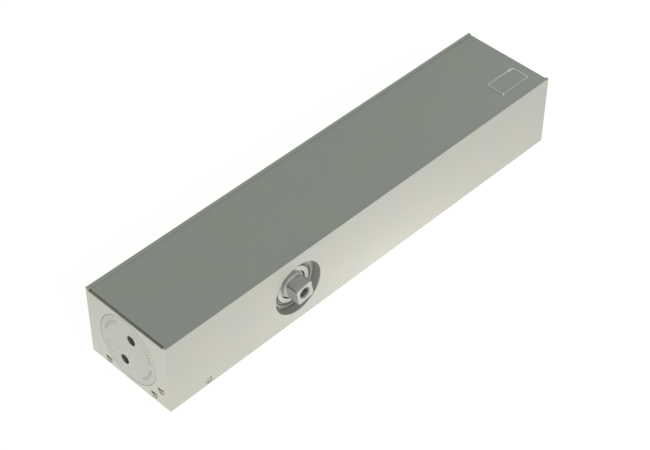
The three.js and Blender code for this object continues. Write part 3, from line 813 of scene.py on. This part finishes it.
def cam_spindle():
    low, high = box("cam_spindle")
    tip, end = low.y, high.y
    square, corner, square_end, relief = 5.2, 6.9, tip + 6.9, 4.8
    shoulder, shoulder_face, journal_start = 7.2, square_end + 0.9, tip + 9.4
    collar, collar_start, collar_end = 9.3, 4.8, 18.7
    spindle = turned("Y", SPINDLE, [
        (0, tip), (corner, tip, 0.5), (corner, square_end, 0.2), (relief, square_end, 0.1),
        (relief, shoulder_face, 0.1), (shoulder, shoulder_face, 0.5), (shoulder, journal_start),
        (JOURNAL, journal_start, 0.2), (JOURNAL, -collar_end), (collar, -collar_end, 0.4),
        (collar, -collar_start, 0.4), (JOURNAL, -collar_start), (JOURNAL, collar_start),
        (collar, collar_start, 0.4), (collar, collar_end, 0.4), (JOURNAL, collar_end),
        (JOURNAL, end, 0.4), (0, end),
    ])
    square_turn, beyond = -math.radians(9.5), 20
    waste = block((square, tip - PAST, -beyond), (square + beyond, square_end + 0.3, beyond))
    waste.data.transform(TO_SPINDLE)
    waste.data.transform(about(SPINDLE, "Y", square_turn))
    cut(spindle, *around(waste, "Y", SPINDLE, 4))
    soften(spindle, 0.45, 3, lambda e: max(v.co.y for v in e.verts) < (tip + 0.01) * MM)
    half_cam = 4.5
    cam = soften(slab(cam_outline(), -half_cam, half_cam), 0.3, 2)
    welded(spindle, cam)
    hole, crest, pitch, chamfer, depth, lit_thread_depth = 2.9, 3.4, 1.0, 3.65, 14, 1.9
    arm_hole = turned("Y", SPINDLE, [
        (0, tip - PAST), (chamfer + PAST, tip - PAST), (hole, tip + chamfer - hole),
        (hole, tip + depth), (0, tip + depth + 1.5),
    ], ease=0)
    arm_thread = thread("Y", SPINDLE, hole, crest, pitch, tip - 0.5, tip + depth - 1.5)
    cut(spindle, arm_hole, arm_thread)

    def finish_at(face):
        place = face.center / MM
        off_axis = math.hypot(place.x - SPINDLE.x, place.z - SPINDLE.z)
        # Inside the arm's threaded hole: dark grey, painted shade. Thread flanks that face out of
        # the hole near its mouth take a lighter grey instead, a painted highlight.
        if tip + 0.4 < place.y < tip + depth + 2 and off_axis < hole + 0.6:
            # Flanks facing out of the hole, near its mouth: painted highlight.
            lit_flank = place.y < tip + lit_thread_depth and face.normal.y < -0.35
            return painted_light_midtone if lit_flank else hole_painted_shade
        # The rounded strips at the square's corners: mid grey, painted shade.
        if place.y < square_end and off_axis > corner - 0.1:
            return painted_light_midtone
        # The shoulder face takes the lighter grey, painted highlight.
        on_shoulder = square_end + 0.5 < place.y < journal_start - 0.1 and off_axis > relief
        return shoulder_painted_highlight if on_shoulder else spindle_zinc

    dress(spindle, finish_at, spindle_zinc, hole_painted_shade, painted_light_midtone, shoulder_painted_highlight)
    fit(spindle, "cam_spindle")


# ---- Spindle bearings ----
def bearing_cup(node):
    """A drawn cup: thin, with both ends turned in over the needles."""
    low, high = box(node)
    outer = half_width(node, "X")
    lip, wall, end_wall = JOURNAL + SEAT_GAP, 0.9, 0.8
    cup = turned("Y", SPINDLE, [
        (lip, low.y, 0.2), (outer, low.y, 0.3), (outer, high.y, 0.5), (lip, high.y, 0.2),
        (lip, high.y - end_wall, 0.2), (outer - wall, high.y - end_wall, 0.3),
        (outer - wall, low.y + end_wall, 0.3), (lip, low.y + end_wall, 0.2), (lip, low.y, 0.2),
    ])
    fit(cup, node, cup_steel)


def needle_cage(node):
    """A thin cage with twelve pockets, and a needle in each."""
    low, high = box(node)
    needles, needle, pitch_radius, end_ring, play = 12, 0.78, 9.05, 0.25, 0.06
    inner, outer = 8.55, 9.5
    cage = turned("Y", SPINDLE, tube(inner, outer, low.y, high.y), ease=0.1)
    pocket = block(
        (pitch_radius - 2, low.y + end_ring, -needle - play),
        (pitch_radius + 2, high.y - end_ring, needle + play))
    pocket.data.transform(TO_SPINDLE)
    cut(cage, gathered(around(pocket, "Y", SPINDLE, needles)))
    roller = turned("Y", SPINDLE + Vector((pitch_radius, 0, 0)), rod(
        needle, low.y + end_ring + 0.05, high.y - end_ring - 0.05), ease=0.25, sides=20)
    fit(gathered([cage, *around(roller, "Y", SPINDLE, needles)]), node, cage_steel)


def bearing_carrier():
    low, high = box("bearing_carrier")
    face, inner = low.y, high.y
    outer = half_width("bearing_carrier", "X") + 0.13
    bore = half_width("near_bearing_cup", "X") + SMALL_GAP
    step = face + 4.8
    rim, floor = 12.85, face + 1.3
    shoulder = outer - 0.9
    mouth_radius, mouth_depth = 9.5, 0.7
    seal, half_groove = middle("carrier_seal").y, 0.65
    groove = outer - 1.0
    carrier = turned("Y", SPINDLE, [
        (bore, face), (bore + 0.2, face), (bore + 0.25, floor, 0.3), (rim - 0.5, floor, 0.2),
        (rim - 0.35, face + 0.35), (rim, face), (outer, face, 0.05), (outer, seal - half_groove),
        (groove, seal - half_groove), (groove, seal + half_groove), (outer, seal + half_groove),
        (outer, step, 0.3), (shoulder, step), (shoulder, inner, 0.4), (mouth_radius, inner, 0.2),
        (mouth_radius, inner - mouth_depth), (bore, inner - mouth_depth), (bore, face),
    ], ease=0.08)
    angle, off_axis = math.radians(217), 14.2
    spot = SPINDLE + Vector((math.cos(angle), 0, math.sin(angle))) * off_axis
    locking_hole = turned("Y", spot, [
        *mouth(0.62, face, -1, 0.05), (0.6, face + 1.5), (0, face + 1.8)], ease=0)
    cut(carrier, locking_hole)
    fit(carrier, "bearing_carrier", carrier_zinc)


def round_seal(node, axis, centre, wire):
    outer = half_width(node, "Y" if axis == "X" else "X")
    place = middle(node)["XYZ".index(axis)]
    fit(turned(axis, centre, section(outer - wire, wire, place), ease=0), node, rubber)


def near_bearing():
    bearing_carrier()
    round_seal("carrier_seal", "Y", SPINDLE, 0.45)
    bearing_cup("near_bearing_cup")
    needle_cage("near_needle_cage")
    low, high = box("shaft_seal")
    inner, outer = JOURNAL + SMALL_GAP, half_width("shaft_seal", "X")
    seal = turned("Y", SPINDLE, [
        (inner, low.y + 0.5), (inner + 0.5, low.y), (outer, low.y, 0.3), (outer, high.y, 0.3),
        (inner + 1.4, high.y), (inner + 1.1, low.y + 0.6), (inner + 0.6, low.y + 0.55),
        (inner, low.y + 0.95), (inner, low.y + 0.5),
    ], ease=0.1)
    fit(seal, "shaft_seal", rubber)


def far_bearing():
    bearing_cup("far_bearing_cup")
    needle_cage("far_needle_cage")
    low, high = box("far_cap_seal")
    outer = half_width("far_cap_seal", "X")
    seal = turned("Y", SPINDLE, tube(outer - 1.8, outer, low.y, high.y), ease=0.4)
    fit(seal, "far_cap_seal", rubber)
    low, high = box("far_bearing_cap")
    outer, mark, off_axis = half_width("far_bearing_cap", "X"), 1.1, 8.1
    cap = turned("Y", SPINDLE, [
        (0, low.y), (outer, low.y, 0.3), (outer, high.y, 0.35), (mark, high.y),
        (0, high.y - mark),
    ])
    for side in (-off_axis, off_axis):
        place = SPINDLE + Vector((side, 0, 0))
        drill(cap, "Y", place, high.y, 1, high.y - 1.8, radius=1.6, rim=0.15, tip=0.4)
    fit(cap, "far_bearing_cap", cap_silver)


# ---- Pistons: towards is +1 for the one on the spring side, -1 for the damper's ----
def forked(piston, roller_x, towards):
    """Cuts the slot for the roller and the cam, and the bore for the roller's pin."""
    gap, back_room, overhang, pin, beyond = 5.1, 8, 5, 3.2, 25
    face = roller_x - towards * (overhang + PAST)
    floor = roller_x + towards * back_room
    slot = block(
        (min(face, floor), -gap, CYLINDER.z - beyond),
        (max(face, floor), gap, CYLINDER.z + beyond))
    soften(slot, 0.5, 3, lambda e: all(abs(v.co.x - floor * MM) < MM / 10 for v in e.verts))
    pin_bore = turned("Y", (roller_x, 0, CYLINDER.z), rod(pin, -beyond, beyond), ease=0)
    cut(piston, slot, pin_bore)


def roller(node):
    low, high = box(node)
    outer = half_width(node, "Z")
    bore, shoulder, slope = 3 + SMALL_GAP, outer - 1.2, 0.15
    wheel = turned("Y", middle(node), [
        (bore, low.y, 0.35), (shoulder, low.y, 0.1), (outer, low.y + slope, 0.5),
        (outer, high.y - slope, 0.5), (shoulder, high.y, 0.1), (bore, high.y, 0.35),
        (bore, low.y, 0.35),
    ])
    fit(wheel, node, roller_steel)


def roller_pin(node):
    low, high = box(node)
    outer, mark, sunk = half_width(node, "X"), 0.7, 0.5
    pin = turned("Y", middle(node), [
        (0, low.y + sunk), (mark, low.y), (outer, low.y, 0.6), (outer, high.y, 0.6),
        (mark, high.y), (0, high.y - sunk),
    ])
    fit(pin, node, pin_steel)


def spring_piston():
    low, high = box("spring_piston")
    spigot, back, groove, mark = 7.6, high.x - SPIGOT, PISTON - 0.35, high.x - 0.9
    piston = turned("X", CYLINDER, [
        (0, low.x), (PISTON, low.x, 1.1), (PISTON, low.x + 7), (groove, low.x + 7.3),
        (groove, low.x + 8), (PISTON, low.x + 8.3), (PISTON, back, 1.1), (spigot, back),
        (spigot, high.x, 1.1), (2, high.x), (1.2, mark), (0, mark),
    ])
    forked(piston, middle("spring_roller").x, 1)
    place = CYLINDER + Vector((0, 0, 12.4))
    drill(piston, "X", place, back, 1, low.x - PAST, radius=1.5, rim=0.3)
    fit(piston, "spring_piston", piston_steel)
    roller("spring_roller")
    roller_pin("spring_roller_pin")


def damper_piston():
    low, high = box("damper_piston")
    groove = box("piston_ring")[0].x - SMALL_GAP, box("piston_ring")[1].x + SMALL_GAP
    floor = PISTON - 1.2
    piston = turned("X", CYLINDER, [
        (0, low.x), (PISTON, low.x, 1.1), (PISTON, groove[0]), (floor, groove[0]),
        (floor, groove[1]), (PISTON, groove[1]), (PISTON, high.x, 1.1), (0, high.x),
    ], ease=0.1)
    forked(piston, middle("damper_roller").x, -1)
    bore, seat, bore_floor, slot = 2.9, 1.3, low.x + 8, middle("damper_roller").x
    check_bore = turned("X", CYLINDER, [
        *mouth(bore, low.x, -1, 0.4), (bore, bore_floor), (seat + 0.4, bore_floor),
        (seat, bore_floor + 0.4), (seat, slot), (0, slot),
    ], ease=0)
    cut(piston, check_bore)
    fit(piston, "damper_piston", piston_steel)

    low, high = box("piston_ring")
    outer = half_width("piston_ring", "Y")
    ring = turned("X", CYLINDER, tube(floor + SMALL_GAP, outer, low.x, high.x), ease=0.2)
    split = block((low.x - 2, -0.25, CYLINDER.z + 10), (high.x + 2, 0.25, CYLINDER.z + 25))
    split.data.transform(about((middle("piston_ring").x, 0, CYLINDER.z), "Z", math.radians(30)))
    fit(cut(ring, split), "piston_ring", plastic)

    low, high = box("check_valve_ball")
    centre, size = (low.x + high.x) / 2, half_width("check_valve_ball", "X")
    profile = [(size * math.sin(math.radians(a)), centre - size * math.cos(math.radians(a)))
               for a in range(0, 181, 9)]
    fit(turned("X", CYLINDER, profile, ease=0), "check_valve_ball", ball_steel)

    low, high = box("check_valve_cage")
    outer = half_width("check_valve_cage", "Y")
    cage = turned("X", CYLINDER, tube(1.3, outer, low.x, high.x))
    notch = block((high.x - 0.7, -0.5, CYLINDER.z), (high.x + 1, 0.5, CYLINDER.z + 5))
    cut(cage, *around(notch, "X", CYLINDER, 3))
    fit(cage, "check_valve_cage", valve_brass("check_valve_cage"))

    roller("damper_roller")
    roller_pin("damper_roller_pin")


# ---- Springs ----
def long_spring(node, mean, wire, turns):
    """A closing spring in two halves, cut halfway between its ends: one half on the piston's side,
    the other on the spring seat's side."""
    start = box("spring_piston")[1].x - SPIGOT + SEAT_GAP
    end = box("spring_seat")[1].x - SEAT_FLANGE - SEAT_GAP
    halfway = (start + end) / 2
    travel = {joint["name"]: joint["range_m"][1] / MM
              for joint in record["behaviour"]["joints"] if "range_m" in joint}
    whole = coil(mean, wire, turns, start, end)
    for side, joint in ((1, "spring_piston_slide"), (-1, "spring_seat_slide")):
        part = halved(copied(whole, Matrix()), halfway, side)
        fit(part, node, spring_wire, "piston_half" if side > 0 else "seat_half")
        1 - travel[joint] / (end - halfway)
        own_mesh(part)
    bpy.data.objects.remove(whole)


def springs():
    long_spring("outer_spring", 15.2, 2.6, 10)
    long_spring("inner_spring", 10, 1.7, -14)
    start = box("damper_end_plug")[1].x + SEAT_GAP
    end = box("damper_piston")[0].x - SEAT_GAP
    damper = coil(13, 0.8, 6, start, end)
    fit(damper, "damper_spring", spring_wire, rides=False)
    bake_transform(damper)


# ---- End plugs ----
def end_plug(node, face, inwards):
    low, high = box(node)
    disc, disc_thickness = half_width(node, "Y"), 1.4
    length = high.x - low.x
    groove_start, groove_end, groove = length - 6.4, length - 4, PISTON - 1.4

    def at(depth):
        return face + inwards * depth

    return turned("X", CYLINDER, [
        (0, at(0)), (disc, at(0), 0.25), (disc, at(disc_thickness), 0.2),
        (PISTON, at(disc_thickness)), (PISTON, at(groove_start)), (groove, at(groove_start)),
        (groove, at(groove_end)), (PISTON, at(groove_end)), (PISTON, at(length), 1.2),
        (0, at(length)),
    ])


def pin_holes(plug, face, inwards, tilt):
    """Drills the two holes that a pin spanner turns the plug by."""
    off_axis, radius, floor = 9.5, 2.85, face + inwards * 3.5
    for side in (-off_axis, off_axis):
        place = CYLINDER + Vector((0, -side * math.sin(tilt), side * math.cos(tilt)))
        drill(plug, "X", place, face, -inwards, floor, radius, rim=0.08, tip=1.2)

    def finish_at(skin):
        place = skin.center / MM
        upright = place - CYLINDER
        upright.rotate(Matrix.Rotation(-tilt, 3, "X"))
        off_hole = math.hypot(upright.y, abs(upright.z) - off_axis)
        in_hole = off_hole < radius + 0.02 and 0.1 < abs(place.x - face) < 5
        return drilled_steel if in_hole else plug_silver

    dress(plug, finish_at, plug_silver, drilled_steel)


def end_plugs():
    tilt = math.radians(19.7)
    damper = end_plug("damper_end_plug", LEFT, 1)
    pin_holes(damper, LEFT, 1, tilt)
    inner, outer, half_mark, sunk = CYLINDER.z + 15.4, CYLINDER.z + 17.4, 0.2, 0.12
    mark = block((LEFT - PAST, -half_mark, inner), (LEFT + sunk, half_mark, outer))
    marks = []
    for start, count in ((20, 11), (100, 8), (200, 10), (285, 9)):
        for i in range(count):
            marks.append(copied(mark, about(CYLINDER, "X", math.radians(start + 6 * i))))
    bpy.data.objects.remove(mark)
    cut(damper, gathered(marks))
    fit(damper, "damper_end_plug")
    round_seal("damper_plug_seal", "X", CYLINDER, 0.7)

    closing = end_plug("spring_end_plug", RIGHT, -1)
    pin_holes(closing, RIGHT, -1, 0)
    floor = box("spring_end_plug")[0].x - PAST
    drill(closing, "X", CYLINDER, RIGHT, 1, floor, radius=SCREW_NECK + SEAT_GAP, rim=0.3)
    fit(closing, "spring_end_plug")
    round_seal("spring_plug_seal", "X", CYLINDER, 0.7)


# ---- Spring force adjustment ----
def spring_adjuster():
    low, high = box("spring_adjusting_screw")
    neck, collar, root = SCREW_NECK, 9, 3.9
    collar_face = box("spring_end_plug")[0].x - SMALL_GAP
    collar_start = collar_face - 3
    seal, half_groove = middle("adjusting_screw_seal").x, 0.9
    core, start = root - 0.37, low.x + 0.5
    screw = turned("X", CYLINDER, [
        (0, start), (core, start), (core, collar_start), (collar, collar_start, 0.4),
        (collar, collar_face, 0.4), (neck, collar_face), (neck, seal - half_groove),
        (neck - 1, seal - half_groove), (neck - 1, seal + half_groove),
        (neck, seal + half_groove), (neck, high.x, 0.5), (0, high.x),
    ], ease=0.1)
    screw.data.transform(about(CYLINDER, "X", math.radians(1.7)))
    welded(screw, thread("X", CYLINDER, root, neck, 1.5, low.x + 0.03, collar_start - 1.1))
    across, depth = 6, 6
    corner = across / math.sqrt(3)
    chamfer = corner + 0.1
    chamfer_end = high.x - (chamfer - across / 2)
    socket = added(
        bpy.ops.mesh.primitive_cylinder_add, vertices=6, radius=corner * MM,
        depth=(depth + PAST) * MM, rotation=(0, math.pi / 2, 0),
        location=Vector((high.x + (PAST - depth) / 2, CYLINDER.y, CYLINDER.z)) * MM)
    socket_mouth = turned("X", CYLINDER, [
        (0, high.x + PAST), (chamfer + PAST, high.x + PAST), (across / 2, chamfer_end),
        (0, chamfer_end),
    ], ease=0)
    cut(screw, socket, socket_mouth)
    into_edit(screw)
    closed_up(screw, 4e-6)
    fit(screw, "spring_adjusting_screw", screw_steel)
    round_seal("adjusting_screw_seal", "X", CYLINDER, 0.5)

    low, high = box("spring_seat")
    face, hub, bore = high.x - SEAT_FLANGE, 7.6, neck + SMALL_GAP
    seat = turned("X", CYLINDER, [
        (bore, low.x, 0.5), (hub, low.x, 1), (hub, face), (PISTON, face, 0.8),
        (PISTON, high.x, 0.8), (bore, high.x, 0.5), (bore, low.x, 0.5),
    ])
    fit(seat, "spring_seat", screw_steel)


# ---- Adjusting valves ----
def valve(node, slot_turn):
    low, high = box(node)
    low.x = LEFT + 0.4
    centre = middle(node)
    outer, stem, neck, tip = 2.27, 1.8, 1.35, 0.5
    seal, half_groove = middle(f"{node}_seal").x, 0.8
    body = turned("X", centre, [
        (0, low.x), (outer, low.x, 0.2), (outer, low.x + 3.5), (stem, low.x + 3.8),
        (stem, seal - half_groove), (neck, seal - half_groove), (neck, seal + half_groove),
        (stem, seal + half_groove), (stem, high.x - 4), (tip, high.x, 0.2), (0, high.x),
    ], ease=0.06, sides=40)
    slot = Vector((0, 0.7, 3))
    face = Vector((low.x, centre.y, centre.z))
    out, depth = Vector((PAST, 0, 0)), Vector((0.9, 0, 0))
    blade = block(face - slot - out, face + slot + depth)
    blade.data.transform(about(centre, "X", math.radians(slot_turn)))
    cut(body, blade)
    fit(body, node, valve_brass(node))
    round_seal(f"{node}_seal", "X", centre, 0.4)


def valves():
    slot_turns = {"closing_speed_valve": 86, "latching_speed_valve": 82, "backcheck_valve": 92}
    for node, slot_turn in slot_turns.items():
        valve(node, slot_turn)


def channel_plug():
    face = NEAR + 0.15
    end = box("channel_plug")[1].y
    outer, dish = 1.72, 0.9
    plug = turned("Y", middle("channel_plug"), [
        (0, face + 0.3), (dish, face + 0.3, 0.1), (dish + 0.2, face, 0.1), (outer, face, 0.2),
        (outer, end, 0.3), (0, end),
    ], sides=40)
    fit(plug, "channel_plug", turned_metal(
        "plug_zinc", (0.62, 0.61, 0.56), 0.4, "Y", middle("channel_plug")))


housing()
front_cover()
cover_studs()
cam_spindle()
near_bearing()
far_bearing()
spring_piston()
damper_piston()
springs()
end_plugs()
spring_adjuster()
valves()
channel_plug()


# ---- Camera, table and light ----
scene = bpy.context.scene
scene.view_settings.view_transform = "Standard"


def placed(name, data, place, aim, roll=0):
    """Puts a camera or a lamp at a place, turned towards its aim."""
    stand = bpy.data.objects.new(name, data)
    scene.collection.objects.link(stand)
    turn = (Vector(aim) - Vector(place)).to_track_quat("-Z", "Y").to_matrix().to_4x4()
    stand.matrix_world = Matrix.Translation(place) @ turn @ Matrix.Rotation(roll, 4, "Z")
    return stand


def camera():
    lens = bpy.data.cameras.new("camera")
    lens.lens = 97.38
    place, aim = (-0.48049, -0.46608, 0.65663), (-0.01129, -0.00641, 0.022)
    scene.camera = placed("camera", lens, place, aim, math.radians(0.209))


def white_table():
    """A white table that glows, though it is no lamp. The camera sees it evenly bright; what the
    closer mirrors of it holds painted pools of light, brightest close to the closer.
    """
    table = added(
        bpy.ops.mesh.primitive_circle_add, vertices=128, radius=4, fill_type="NGON",
        location=(0, 0, -0.0001))
    table.name = "table"
    paint = Finish("table_white", metallic=0.0)

    def pool(x, y, reach_x, reach_y):
        """A pool of light, 1 at its middle and 0 beyond its reach."""
        spot = paint.node("ShaderNodeMapping", {}, {
            "Vector": paint.place, "Scale": (1000 / reach_x, 1000 / reach_y, 1),
            "Location": (-x / reach_x, -y / reach_y, 0)})
        return paint.node(
            "ShaderNodeTexGradient", {"gradient_type": "QUADRATIC_SPHERE"}, {"Vector": spot}, out=1)

    # Painted pools of light in the table's glow, which the closer mirrors.
    glow = (0.64 + pool(5, -30, 230, 75) * 0.28 + pool(0, -30, 500, 60) * 0.1
            + pool(-143, 15, 100, 110) * 0.17)
    seen = paint.node("ShaderNodeLightPath")
    white = paint.node("ShaderNodeCombineColor", {}, {
        "Red": glow, "Green": glow, "Blue": glow * 0.985})
    paint.look(
        Base_Color=(0.5, 0.5, 0.49, 1), Roughness=0.9, Emission_Strength=1.0,
        Emission_Color=paint.mixed(seen, white, (0.8, 0.8, 0.788, 1)))
    table.data.materials.append(paint.material)


def dim_room():
    room = bpy.data.worlds.new("room")
    scene.world = room
    room.use_nodes = True
    sky = room.node_tree.nodes["Background"]
    sky.inputs["Color"].default_value = (0.387, 0.43, 0.42, 1)
    sky.inputs["Strength"].default_value = 0.975


def soft_lamp(name, place, size, power):
    light = bpy.data.lights.new(name, "AREA")
    light.shape = "DISK"
    light.size = size
    light.energy = power
    placed(name, light, place, aim=(0, 0, 0.02))


camera()
white_table()
dim_room()
soft_lamp("back_lamp", (1.1, 0.2, 0.95), 0.6, 0.34)
soft_lamp("front_lamp", (-0.4, -1.2, 0.9), 0.5, 3.3)
